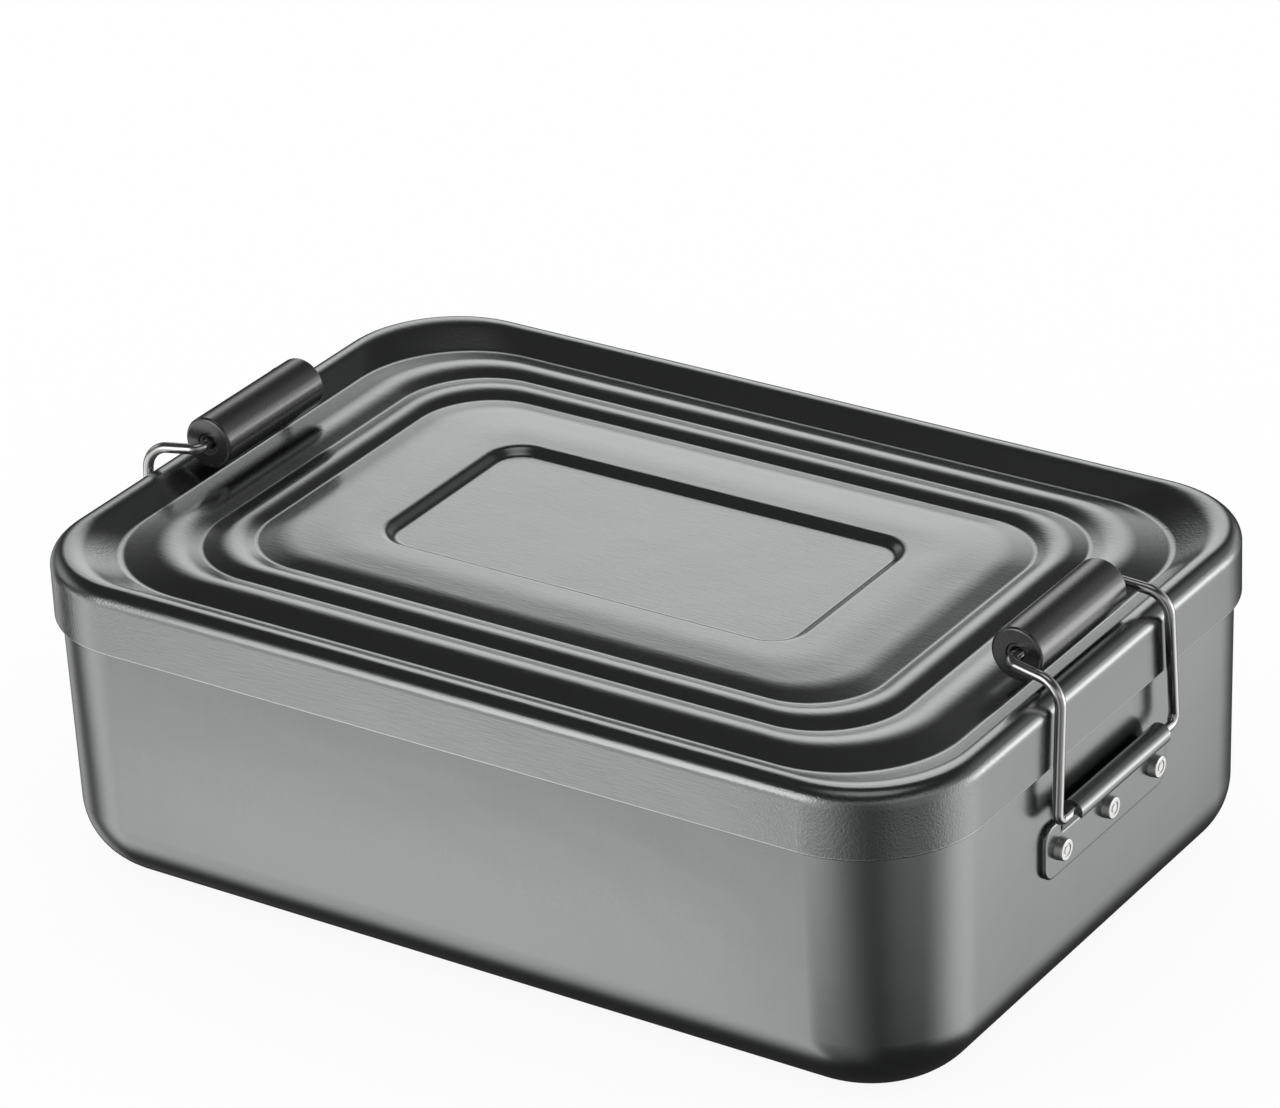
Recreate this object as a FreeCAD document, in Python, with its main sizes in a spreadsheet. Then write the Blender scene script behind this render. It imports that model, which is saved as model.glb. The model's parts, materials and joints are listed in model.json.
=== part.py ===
"""Metal lunch box: a deep-drawn aluminium pan, an embossed lift-off lid and two wire bail clips.

Millimetres. +Z is up, +X runs along the box, and the origin is the middle of the pan's base.
The sheet "sizes" holds the driving dimensions, and "places" holds what follows from them.
"""
import FreeCAD, Part
import math
import os
import Sketcher

SIZES = [
    ("lid_length", 218.0, "outside length of the lid's skirt"),
    ("lid_width", 150.0, "outside width of the lid's skirt"),
    ("lid_corner_radius", 26.0, "upright corner of the skirt"),
    ("sheet", 1.0, "thickness of the pan's and the lid's sheet"),
    ("skirt_edge_height", 57.4, "base to the skirt's lower edge"),
    ("skirt_height", 14.3, "skirt's lower edge to the rim's crest"),
    ("rim_radius", 3.2, "outer bend between skirt and rim crest"),
    ("crest_width", 4.7, "skirt's outside to the inner line of the crest"),
    ("crest_radius", 4.5, "inner rounding of the rim crest"),
    ("crease_height", 11.5, "skirt's lower edge to the three creases"),
    ("slope_width", 10.5, "skirt's outside to the first crease"),
    ("first_crease_radius", 26.0, "corner of the first crease"),
    ("first_ridge_end", 15.2, "first ridge at the short ends, crease to crease"),
    ("first_ridge_side", 11.7, "first ridge at the long sides"),
    ("second_crease_radius", 19.5, "corner of the second crease"),
    ("second_ridge", 9.0, "second ridge, crease to crease"),
    ("third_crease_radius", 16.7, "corner of the third crease"),
    ("ridge_height", 2.2, "creases to the crowns of the ridges"),
    ("ridge_slope", 48.0, "lean of the ridges' flanks from upright, degrees"),
    ("crown_radius", 4.6, "rounding of the ridges' crowns"),
    ("panel_length", 98.0, "floor of the sunk panel in the middle"),
    ("panel_width", 48.0, "floor of the sunk panel in the middle"),
    ("panel_corner_radius", 6.0, "corner of the panel's floor"),
    ("panel_slope", 42.0, "lean of the panel's flanks from upright, degrees"),
    ("panel_edge_radius", 1.6, "rounding round the panel's brink"),
    ("panel_foot_radius", 1.0, "rounding round the panel's floor"),
    ("skirt_gap", 0.4, "pan's wall to the skirt's inside, at the pan's rim"),
    ("seat_gap", 0.3, "pan's rim to the lid's underside"),
    ("wall_draft", 0.8, "lean of the pan's walls, degrees"),
    ("base_radius", 15.0, "bend between the pan's walls and its base"),
    ("lip_radius", 0.4, "rounding of the pan's rim"),
    ("wire_diameter", 2.3, "bail wire"),
    ("leg_gap", 0.45, "skirt to the bail's legs"),
    ("leg_spacing", 47.4, "between the bail's legs at the barrel, centre to centre"),
    ("shoulder_spacing", 43.2, "between the bail's legs at the bends at their top"),
    ("arm_spacing", 40.4, "between the bail's arms at the roller"),
    ("pivot_drop", 11.5, "skirt's lower edge down to the bail's pivot"),
    ("shoulder_rise", 29.4, "pivot up to the bend at the top of a leg"),
    ("shoulder_bend", 5.5, "bend at the top of a leg, at the wire's middle"),
    ("foot_bend", 2.2, "bends beside the barrel and the roller"),
    ("roller_inset", 12.6, "pivot inward to the roller's axis"),
    ("roller_rise", 30.9, "pivot up to the roller's axis"),
    ("roller_diameter", 11.6, "roller"),
    ("roller_length", 34.0, "roller"),
    ("roller_edge", 0.6, "rounding of the roller's ends"),
    ("roller_mouth", 0.5, "bevel round the roller's bore"),
    ("pin_reach", 11.0, "length of wire inside each end of the roller"),
    ("running_gap", 0.05, "wire to the barrel and to the roller's bore"),
    ("leaf", 1.2, "thickness of the hinge plate"),
    ("barrel_length", 36.0, "rolled barrel of the hinge plate"),
    ("barrel_seam", 1.2, "pivot down to the barrel's free edge"),
    ("plate_width", 49.2, "hinge plate"),
    ("plate_drop", 14.5, "pivot down to the hinge plate's lower edge"),
    ("ear_drop", 2.2, "pivot down to the top of the plate's ears"),
    ("neck_drop", 5.2, "pivot down to where the plate leaves the wall"),
    ("slit", 0.3, "cut between the neck and the ears"),
    ("plate_corner_radius", 3.5, "corners of the hinge plate"),
    ("rivet_pitch", 19.0, "between neighbouring rivets"),
    ("rivet_drop", 8.45, "pivot down to the rivets"),
    ("shank_diameter", 3.1, "rivet"),
    ("shank_gap", 0.05, "rivet's shank to its holes"),
    ("rivet_head_diameter", 5.0, "rivet's outer head, at the plate"),
    ("rivet_head_height", 1.8, "rivet's outer head"),
    ("rivet_head_lean", 6.0, "lean of the outer head's side, degrees"),
    ("rivet_head_edge", 0.3, "rounding of the outer head"),
    ("rivet_mark_diameter", 2.8, "ring pressed into the outer head"),
    ("rivet_mark_width", 0.5, "ring pressed into the outer head"),
    ("rivet_mark_depth", 0.2, "ring pressed into the outer head"),
    ("rivet_foot_diameter", 6.6, "rivet's flat head inside the pan"),
    ("rivet_foot_height", 0.9, "rivet's flat head inside the pan"),
]

SIDES = {"right": 0.0, "left": 180.0}
RIVET_ROWS = {"front": -1, "middle": 0, "back": 1}
TOUCH = 0.001

doc = FreeCAD.newDocument("lunch_box")
sizes = doc.addObject("Spreadsheet::Sheet", "sizes")
places = doc.addObject("App::VarSet", "places")
finished = []


# Driving dimensions and what follows from them

def fill_sheet():
    """Writes each dimension, its name and what it measures into a row of the sheet."""
    for row, (alias, number, meaning) in enumerate(SIZES, start=1):
        sizes.set(f"A{row}", alias)
        sizes.set(f"B{row}", str(number))
        sizes.set(f"C{row}", meaning)
        sizes.setAlias(f"B{row}", alias)
    doc.recompute()


def derive(name, formula):
    """A named length that the sheet's dimensions decide."""
    places.addProperty("App::PropertyFloat", name)
    places.setExpression(name, formula)


def derive_places():
    """Outlines, levels and centres that several pieces share."""
    derive("skirt_half_x", "sizes.lid_length / 2")
    derive("skirt_half_y", "sizes.lid_width / 2")
    derive("rim_level", "sizes.skirt_edge_height + sizes.skirt_height")
    derive("crease_level", "sizes.skirt_edge_height + sizes.crease_height")
    derive("ridge_level", "places.crease_level + sizes.ridge_height")
    derive("ridge_run", "sizes.ridge_height * tan(sizes.ridge_slope)")
    derive("panel_run", "sizes.ridge_height * tan(sizes.panel_slope)")
    derive("crest_half_x", "places.skirt_half_x - sizes.crest_width")
    derive("crest_half_y", "places.skirt_half_y - sizes.crest_width")
    derive("crest_corner", "sizes.lid_corner_radius - sizes.crest_width / 2")
    derive("first_half_x", "places.skirt_half_x - sizes.slope_width")
    derive("first_half_y", "places.skirt_half_y - sizes.slope_width")
    derive("second_half_x", "places.first_half_x - sizes.first_ridge_end")
    derive("second_half_y", "places.first_half_y - sizes.first_ridge_side")
    derive("third_half_x", "places.second_half_x - sizes.second_ridge")
    derive("third_half_y", "places.second_half_y - sizes.second_ridge")
    derive("panel_half_x", "sizes.panel_length / 2")
    derive("panel_half_y", "sizes.panel_width / 2")

    derive("pan_half_x", "places.skirt_half_x - sizes.sheet - sizes.skirt_gap")
    derive("pan_half_y", "places.skirt_half_y - sizes.sheet - sizes.skirt_gap")
    derive("pan_corner", "sizes.lid_corner_radius - sizes.sheet - sizes.skirt_gap")
    derive("bend_inside", "sizes.rim_radius - sizes.sheet")
    derive("bend_reach", "sizes.rim_radius - sizes.sheet - sizes.skirt_gap")
    derive("pan_rim_level", "places.rim_level - sizes.rim_radius - sizes.seat_gap"
           " + sqrt(places.bend_inside ^ 2 - places.bend_reach ^ 2)")
    derive("pan_inside_x", "places.pan_half_x - sizes.sheet")
    derive("pan_inside_y", "places.pan_half_y - sizes.sheet")
    derive("pan_inside_corner", "places.pan_corner - sizes.sheet")

    derive("wire_radius", "sizes.wire_diameter / 2")
    derive("pivot_x", "places.skirt_half_x + sizes.leg_gap + places.wire_radius")
    derive("pivot_level", "sizes.skirt_edge_height - sizes.pivot_drop")
    derive("wall_x", "places.pan_half_x"
           " - (places.pan_rim_level - places.pivot_level) * tan(sizes.wall_draft)")
    derive("standoff", "(places.pivot_x - places.wall_x) * cos(sizes.wall_draft)")
    derive("rivet_level", "places.pivot_level + places.standoff * sin(sizes.wall_draft)"
           " - sizes.rivet_drop * cos(sizes.wall_draft)")
    derive("hole_radius", "sizes.shank_diameter / 2 + sizes.shank_gap")
    derive("barrel_bore", "places.wire_radius + sizes.running_gap")
    derive("barrel_radius", "places.barrel_bore + sizes.leaf")
    derive("notch_half_y", "sizes.barrel_length / 2 + sizes.slit")
    doc.recompute()


def size(alias):
    """A dimension's number, as it stands in the sheet."""
    return float(sizes.get(alias))


# Sketches and features

def new_sketch(body, name, plane, level=None):
    """An empty sketch on one of the body's own planes, lifted off it by a named level."""
    sketch = body.newObject("Sketcher::SketchObject", name)
    support = next(item for item in body.Origin.OriginFeatures if item.Role == plane)
    sketch.AttachmentSupport = [(support, "")]
    sketch.MapMode = "FlatFace"
    if level is not None:
        sketch.setExpression("AttachmentOffset.Base.z", level)
    return sketch


def constrain(sketch, *rule, name=None, formula=None):
    """One constraint, and the formula that drives it where it is a dimension."""
    index = sketch.addConstraint(Sketcher.Constraint(*rule))
    if formula is not None:
        sketch.renameConstraint(index, name)
        sketch.setExpression(f"Constraints.{name}", formula)


def rounded_rectangle(sketch, half_x, half_y, radius, middle="0", middle_start=0.0):
    """Four lines joined by four arcs, centred across, and about the height "middle".

    Each size is a pair: its formula, and the number that the shape starts from.
    """
    x, y, r = half_x[1], half_y[1], radius[1]
    corners = [(x - r, y - r), (r - x, y - r), (r - x, r - y), (x - r, r - y)]
    sides = [((r - x, -y), (x - r, -y)), ((x, r - y), (x, y - r)),
             ((x - r, y), (r - x, y)), ((-x, y - r), (-x, r - y))]
    for start, end in sides:
        points = [FreeCAD.Vector(u, v + middle_start, 0) for u, v in (start, end)]
        sketch.addGeometry(Part.LineSegment(*points))
    for turn, (u, v) in zip((0, 90, 180, 270), corners):
        ring = Part.Circle(FreeCAD.Vector(u, v + middle_start, 0), FreeCAD.Vector(0, 0, 1), r)
        arc = Part.ArcOfCircle(ring, math.radians(turn), math.radians(turn + 90))
        sketch.addGeometry(arc)
    bottom, right, top, left = range(4)
    for before, arc, after in ((right, 4, top), (top, 5, left), (left, 6, bottom), (bottom, 7, right)):
        constrain(sketch, "Tangent", before, 2, arc, 1)
        constrain(sketch, "Tangent", arc, 2, after, 1)
    for line in (bottom, top):
        constrain(sketch, "Horizontal", line)
    for line in (right, left):
        constrain(sketch, "Vertical", line)
    for arc in (5, 6, 7):
        constrain(sketch, "Equal", 4, arc)
    constrain(sketch, "Radius", 4, r, name="corner", formula=radius[0])
    constrain(sketch, "DistanceX", -1, 1, right, 1, x, name="to_right", formula=half_x[0])
    constrain(sketch, "DistanceX", left, 1, -1, 1, x, name="to_left", formula=half_x[0])
    constrain(sketch, "DistanceY", bottom, 1, top, 1, 2 * y, name="tall", formula=f"2 * ({half_y[0]})")
    constrain(sketch, "DistanceY", -1, 1, top, 1, y + middle_start, name="to_top",
              formula=f"({middle}) + ({half_y[0]})")


def place(name):
    """A derived length as a pair of formula and number."""
    return f"places.{name}", getattr(places, name)


def less(pair, alias):
    """A pair made smaller by one of the sheet's dimensions."""
    return f"{pair[0]} - sizes.{alias}", pair[1] - size(alias)


def dimension(alias):
    """One of the sheet's dimensions as a pair of formula and number."""
    return f"sizes.{alias}", size(alias)


def outline(body, name, half_x, half_y, radius, level):
    """A level rounded rectangle about the body's upright axis."""
    sketch = new_sketch(body, name, "XY_Plane", level)
    rounded_rectangle(sketch, half_x, half_y, radius)
    return sketch


def rectangle(sketch, left, right, bottom, top):
    """Four lines; each side is a pair of the formula and the number of its distance from an axis."""
    x0, x1, y0, y1 = left[1], right[1], bottom[1], top[1]
    ring = [(x0, y0), (x1, y0), (x1, y1), (x0, y1)]
    for start, end in zip(ring, ring[1:] + ring[:1]):
        sketch.addGeometry(Part.LineSegment(FreeCAD.Vector(*start, 0), FreeCAD.Vector(*end, 0)))
    for line in range(4):
        constrain(sketch, "Coincident", line, 2, (line + 1) % 4, 1)
    for line, rule in enumerate(("Horizontal", "Vertical", "Horizontal", "Vertical")):
        constrain(sketch, rule, line)
    constrain(sketch, "DistanceX", -1, 1, 3, 1, x0, name="left", formula=left[0])
    constrain(sketch, "DistanceX", -1, 1, 1, 1, x1, name="right", formula=right[0])
    constrain(sketch, "DistanceY", -1, 1, 0, 1, y0, name="bottom", formula=bottom[0])
    constrain(sketch, "DistanceY", -1, 1, 2, 1, y1, name="top", formula=top[0])


def circle(sketch, radius, u=("0", 0.0), v=("0", 0.0), tag=""):
    """A circle about (u, v); each value is a pair of formula and number."""
    centre = FreeCAD.Vector(u[1], v[1], 0)
    index = sketch.addGeometry(Part.Circle(centre, FreeCAD.Vector(0, 0, 1), radius[1]))
    constrain(sketch, "Radius", index, radius[1], name=f"radius{tag}", formula=radius[0])
    if u[1] == 0.0:
        constrain(sketch, "PointOnObject", index, 3, -2)
    else:
        constrain(sketch, "DistanceX", -1, 1, index, 3, u[1], name=f"across{tag}", formula=u[0])
    if v[1] == 0.0:
        constrain(sketch, "PointOnObject", index, 3, -1)
    else:
        constrain(sketch, "DistanceY", -1, 1, index, 3, v[1], name=f"up{tag}", formula=v[0])


def extrude(body, kind, name, sketch, length, taper=None, **settings):
    """A Pad or Pocket whose length, and lean where it has one, follow formulas."""
    feature = body.newObject(f"PartDesign::{kind}", name)
    feature.Profile = sketch
    for setting, choice in settings.items():
        setattr(feature, setting, choice)
    if length is not None:
        feature.setExpression("Length", length)
    if taper is not None:
        feature.setExpression("TaperAngle", taper)
    doc.recompute()
    return feature


def on_outline(point, half_x, half_y, radius):
    """True where a point lies on a rounded rectangle, by its distance from the outline."""
    u = abs(point.x) - half_x + radius
    v = abs(point.y) - half_y + radius
    distance = math.hypot(max(u, 0), max(v, 0)) + min(max(u, v), 0) - radius
    return abs(distance) < TOUCH


def loop_edges(shape, level, half_x, half_y, radius):
    """Names of the level edges that lie on one rounded rectangle."""
    names = []
    for index, edge in enumerate(shape.Edges, start=1):
        middle = edge.valueAt((edge.FirstParameter + edge.LastParameter) / 2)
        flat = all(abs(point.z - level) < TOUCH for point in (middle, *(v.Point for v in edge.Vertexes)))
        if flat and on_outline(middle, half_x, half_y, radius):
            names.append(f"Edge{index}")
    return names


def round_off(body, name, base, edges, radius, kind="Fillet"):
    """A Fillet, or a Chamfer, on named edges of the feature before it."""
    feature = body.newObject(f"PartDesign::{kind}", name)
    feature.Base = (base, edges)
    feature.setExpression("Radius" if kind == "Fillet" else "Size", radius)
    doc.recompute()
    return feature


def finish(piece, label):
    """Names a finished piece for its file."""
    piece.Label = label
    finished.append(piece)
    return piece


# The pan

def make_pan():
    """Deep-drawn pan: leaning walls, a round bend into the base, a rounded rim, six rivet holes."""
    body = doc.addObject("PartDesign::Body", "pan")
    rim, inside_depth = places.pan_rim_level, places.pan_rim_level - size("sheet")
    lean = math.tan(math.radians(size("wall_draft")))
    outer = outline(body, "pan_outline", place("pan_half_x"), place("pan_half_y"), place("pan_corner"),
                    "places.pan_rim_level")
    extrude(body, "Pad", "pan_block", outer, "places.pan_rim_level", "-sizes.wall_draft", Reversed=True)
    inner = outline(body, "pan_inside", place("pan_inside_x"), place("pan_inside_y"),
                    place("pan_inside_corner"), "places.pan_rim_level")
    hollow = extrude(body, "Pocket", "pan_hollow", inner, "places.pan_rim_level - sizes.sheet",
                     "-sizes.wall_draft")
    floor = [value - inside_depth * lean
             for value in (places.pan_inside_x, places.pan_inside_y, places.pan_inside_corner)]
    floor_edges = loop_edges(hollow.Shape, size("sheet"), *floor)
    lined = round_off(body, "pan_floor_bend", hollow, floor_edges, "sizes.base_radius - sizes.sheet")
    foot = [value - rim * lean for value in (places.pan_half_x, places.pan_half_y, places.pan_corner)]
    drawn = round_off(body, "pan_base_bend", lined, loop_edges(lined.Shape, 0, *foot), "sizes.base_radius")
    lip = (loop_edges(drawn.Shape, rim, places.pan_half_x, places.pan_half_y, places.pan_corner)
           + loop_edges(drawn.Shape, rim, places.pan_inside_x, places.pan_inside_y, places.pan_inside_corner))
    round_off(body, "pan_lip", drawn, lip, "sizes.lip_radius")
    holes = new_sketch(body, "pan_rivet_centres", "YZ_Plane")
    for name, row in RIVET_ROWS.items():
        across = (f"{row} * sizes.rivet_pitch", row * size("rivet_pitch"))
        circle(holes, place("hole_radius"), across, place("rivet_level"), tag=f"_{name}")
    extrude(body, "Pocket", "pan_rivet_holes", holes, None, Type="ThroughAll", SideType="Symmetric")
    return finish(body, "box_pan")


# The lid

def lid_form(name, inset, drop):
    """One face of the lid's sheet as a solid die: the skirt's block, sunk and raised in turn.

    The outer face has no inset or drop. The inner face lies one sheet further in and down.
    """
    body = doc.addObject("PartDesign::Body", name)
    inward = f"{inset} * sizes.sheet"
    down = f"{drop} * sizes.sheet"
    shift = drop * size("sheet")

    def pulled_in(pair):
        return f"{pair[0]} - {inward}", pair[1] - inset * size("sheet")

    skirt = [pulled_in(place("skirt_half_x")), pulled_in(place("skirt_half_y")),
             pulled_in(dimension("lid_corner_radius"))]
    skirt_sketch = outline(body, f"{name}_skirt", *skirt, f"sizes.skirt_edge_height - {down}")
    blank = extrude(body, "Pad", f"{name}_blank", skirt_sketch, "sizes.skirt_height")

    crest = [place("crest_half_x"), place("crest_half_y"), place("crest_corner")]
    rings = {ring: [place(f"{ring}_half_x"), place(f"{ring}_half_y"), dimension(f"{ring}_crease_radius")]
             for ring in ("first", "second", "third")}
    crease_level = f"places.crease_level - {down}"
    crest_sketch = outline(body, f"{name}_crest", *crest, f"places.rim_level - {down}")
    creases = {ring: outline(body, f"{name}_{ring}_crease", *numbers, crease_level)
               for ring, numbers in rings.items()}
    dish = body.newObject("PartDesign::SubtractiveLoft", f"{name}_dish")
    dish.Profile = crest_sketch
    dish.Sections = [creases["first"]]
    dish.Ruled = True
    doc.recompute()

    crowns = []
    run = places.ridge_run
    for ring, sketch in creases.items():
        half_x, half_y, corner = [pair[1] for pair in rings[ring]]
        if ring != "first":
            extrude(body, "Pocket", f"{name}_{ring}_valley", sketch, "sizes.ridge_height",
                    "sizes.ridge_slope", Reversed=True)
            crowns.append((half_x + run, half_y + run, corner + run))
        raised = extrude(body, "Pad", f"{name}_{ring}_ridge", sketch, "sizes.ridge_height",
                         "-sizes.ridge_slope")
        crowns.append((half_x - run, half_y - run, corner - run))
    crown_level = places.ridge_level - shift
    crown_edges = sum((loop_edges(raised.Shape, crown_level, *crown) for crown in crowns), [])
    round_off(body, f"{name}_crowns", raised, crown_edges, "sizes.crown_radius")

    panel = [place("panel_half_x"), place("panel_half_y"), dimension("panel_corner_radius")]
    panel_sketch = outline(body, f"{name}_panel_outline", *panel, crease_level)
    sunk = extrude(body, "Pocket", f"{name}_panel", panel_sketch, "sizes.ridge_height",
                   "sizes.panel_slope", Reversed=True)
    floor = [pair[1] for pair in panel]
    brink = [value + places.panel_run for value in floor]
    brink_edges = loop_edges(sunk.Shape, crown_level, *brink)
    brinked = round_off(body, f"{name}_panel_brink", sunk, brink_edges, "sizes.panel_edge_radius")
    floor_edges = loop_edges(brinked.Shape, places.crease_level - shift, *floor)
    footed = round_off(body, f"{name}_panel_foot", brinked, floor_edges, "sizes.panel_foot_radius")

    rim_level = places.rim_level - shift
    crest_edges = loop_edges(footed.Shape, rim_level, *[pair[1] for pair in crest])
    crested = round_off(body, f"{name}_crest_bend", footed, crest_edges, "sizes.crest_radius")
    rim_edges = loop_edges(crested.Shape, rim_level, *[pair[1] for pair in skirt])
    round_off(body, f"{name}_rim_bend", crested, rim_edges, f"sizes.rim_radius - {inward}")
    return body


def make_lid():
    """The lid's sheet: its outer form less its inner form."""
    lid = doc.addObject("Part::Cut", "lid_sheet")
    lid.Base = lid_form("lid_outside", 0, 0)
    lid.Tool = lid_form("lid_inside", 1, 1)
    doc.recompute()
    return finish(lid, "lid")


# The clips

def clip_frame(turn, leaning):
    """Where a clip's pivot lies. Pieces on the wall also lean with it."""
    base = FreeCAD.Vector(places.pivot_x, 0, places.pivot_level)
    about_z = FreeCAD.Rotation(FreeCAD.Vector(0, 0, 1), turn)
    lean = FreeCAD.Rotation(FreeCAD.Vector(0, 1, 0), size("wall_draft") if leaning else 0)
    return FreeCAD.Placement(about_z.multVec(base), about_z.multiply(lean))


def make_hinge_plate(side, turn):
    """Leaf on the pan's wall, with ears, and a neck that steps out and rolls round the wire."""
    name = f"hinge_plate_{side}"
    body = doc.addObject("PartDesign::Body", name)
    leaf = new_sketch(body, f"{name}_leaf", "YZ_Plane", "-places.standoff")
    tall = ("(sizes.plate_drop - sizes.ear_drop) / 2", (size("plate_drop") - size("ear_drop")) / 2)
    middle = ("-(sizes.plate_drop + sizes.ear_drop) / 2", -(size("plate_drop") + size("ear_drop")) / 2)
    rounded_rectangle(leaf, ("sizes.plate_width / 2", size("plate_width") / 2), tall,
                      dimension("plate_corner_radius"), *middle)
    extrude(body, "Pad", f"{name}_flat", leaf, "sizes.leaf")

    notch = new_sketch(body, f"{name}_notch", "YZ_Plane", "-places.standoff")
    across = place("notch_half_y")
    rectangle(notch, (f"-{across[0]}", -across[1]), across,
              ("-sizes.neck_drop", -size("neck_drop")), ("sizes.ear_drop", size("ear_drop")))
    extrude(body, "Pocket", f"{name}_slits", notch, "sizes.leaf", Reversed=True)

    holes = new_sketch(body, f"{name}_rivet_centres", "YZ_Plane", "-places.standoff")
    for row_name, row in RIVET_ROWS.items():
        circle(holes, place("hole_radius"), (f"{row} * sizes.rivet_pitch", row * size("rivet_pitch")),
               ("-sizes.rivet_drop", -size("rivet_drop")), tag=f"_{row_name}")
    extrude(body, "Pocket", f"{name}_rivet_holes", holes, "sizes.leaf", Reversed=True)

    rolled = new_sketch(body, f"{name}_roll", "XZ_Plane")
    draw_roll(rolled)
    extrude(body, "Pad", f"{name}_barrel", rolled, "sizes.barrel_length", SideType="Symmetric")
    body.Placement = clip_frame(turn, leaning=True)
    return finish(body, name)


def draw_roll(sketch):
    """Section of the neck and barrel: two parallel lines that run into two arcs about the pivot."""
    outer, inner = places.barrel_radius, places.barrel_bore
    foot_x, foot_y = -places.standoff, -size("neck_drop")
    reach = math.hypot(foot_x, foot_y)
    start = math.atan2(foot_y, foot_x) - math.acos(outer / reach)
    seam = -size("barrel_seam")
    end = math.asin(seam / outer)
    up = FreeCAD.Vector(0, 0, 1)
    origin = FreeCAD.Vector(0, 0, 0)

    def at(radius, angle):
        return FreeCAD.Vector(radius * math.cos(angle), radius * math.sin(angle), 0)

    foot_back = FreeCAD.Vector(foot_x, foot_y, 0)
    foot_front = FreeCAD.Vector(foot_x + size("leaf"), foot_y, 0)
    back = sketch.addGeometry(Part.LineSegment(foot_back, at(outer, start)))
    over = sketch.addGeometry(Part.ArcOfCircle(Part.Circle(origin, up, outer), end,
                                               start % (2 * math.pi)))
    edge = sketch.addGeometry(Part.LineSegment(at(outer, end), at(inner, end)))
    under = sketch.addGeometry(Part.ArcOfCircle(Part.Circle(origin, up, inner), end,
                                                start % (2 * math.pi)))
    front = sketch.addGeometry(Part.LineSegment(at(inner, start), foot_front))
    foot = sketch.addGeometry(Part.LineSegment(foot_front, foot_back))
    for arc in (over, under):
        constrain(sketch, "Coincident", arc, 3, -1, 1)
    constrain(sketch, "Tangent", back, 2, over, 2)
    constrain(sketch, "Tangent", front, 1, under, 2)
    constrain(sketch, "Coincident", over, 1, edge, 1)
    constrain(sketch, "Coincident", edge, 2, under, 1)
    constrain(sketch, "Coincident", front, 2, foot, 1)
    constrain(sketch, "Coincident", foot, 2, back, 1)
    constrain(sketch, "Parallel", back, front)
    constrain(sketch, "Horizontal", foot)
    constrain(sketch, "PointOnObject", -1, 1, edge)
    constrain(sketch, "Radius", over, outer, name="outer", formula="places.barrel_radius")
    constrain(sketch, "Radius", under, inner, name="bore", formula="places.barrel_bore")
    constrain(sketch, "DistanceX", back, 1, -1, 1, -foot_x, name="wall", formula="places.standoff")
    constrain(sketch, "DistanceY", back, 1, -1, 1, -foot_y, name="neck", formula="sizes.neck_drop")
    constrain(sketch, "DistanceY", over, 1, -1, 1, -seam, name="seam", formula="sizes.barrel_seam")


def bent_path(corners, bends):
    """A wire of straight runs, with a tangent arc of the given radius at each inner corner."""
    edges = []
    start = corners[0]
    for before, corner, after, radius in zip(corners, corners[1:], corners[2:], bends):
        arrive = (corner - before).normalize()
        leave = (after - corner).normalize()
        turn = arrive.getAngle(leave)
        reach = radius * math.tan(turn / 2)
        enter = corner - arrive * reach
        exit_point = corner + leave * reach
        inward = (leave - arrive).normalize()
        middle = corner + inward * (radius / math.cos(turn / 2) - radius)
        edges.append(Part.LineSegment(start, enter).toShape())
        edges.append(Part.Arc(enter, middle, exit_point).toShape())
        start = exit_point
    edges.append(Part.LineSegment(start, corners[-1]).toShape())
    return Part.Wire(edges)


def make_bail(side, turn):
    """One bent wire: pin, arm, leg, the bar through the barrel, and the same again on the other side."""
    name = f"wire_bail_{side}"
    pin_end = size("roller_length") / 2 - size("pin_reach")
    back_half = [FreeCAD.Vector(-size("roller_inset"), pin_end, size("roller_rise")),
                 FreeCAD.Vector(-size("roller_inset"), size("arm_spacing") / 2, size("roller_rise")),
                 FreeCAD.Vector(0, size("shoulder_spacing") / 2, size("shoulder_rise")),
                 FreeCAD.Vector(0, size("leg_spacing") / 2, 0)]
    front_half = [FreeCAD.Vector(point.x, -point.y, point.z) for point in reversed(back_half)]
    bends = [size("foot_bend"), size("shoulder_bend"), size("foot_bend")]
    path = doc.addObject("Part::Feature", f"{name}_path")
    path.Shape = bent_path(back_half + front_half, bends + bends[::-1])
    section = doc.addObject("Part::Circle", f"{name}_section")
    section.setExpression("Radius", "places.wire_radius")
    section.Placement = FreeCAD.Placement(back_half[0], FreeCAD.Rotation(FreeCAD.Vector(1, 0, 0), 90))
    wire = doc.addObject("Part::Sweep", name)
    wire.Spine = (path, [f"Edge{index}" for index in range(1, len(path.Shape.Edges) + 1)])
    wire.Sections = [section]
    wire.Solid = True
    doc.recompute()
    wire.Placement = clip_frame(turn, leaning=False)
    return finish(wire, name)


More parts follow.
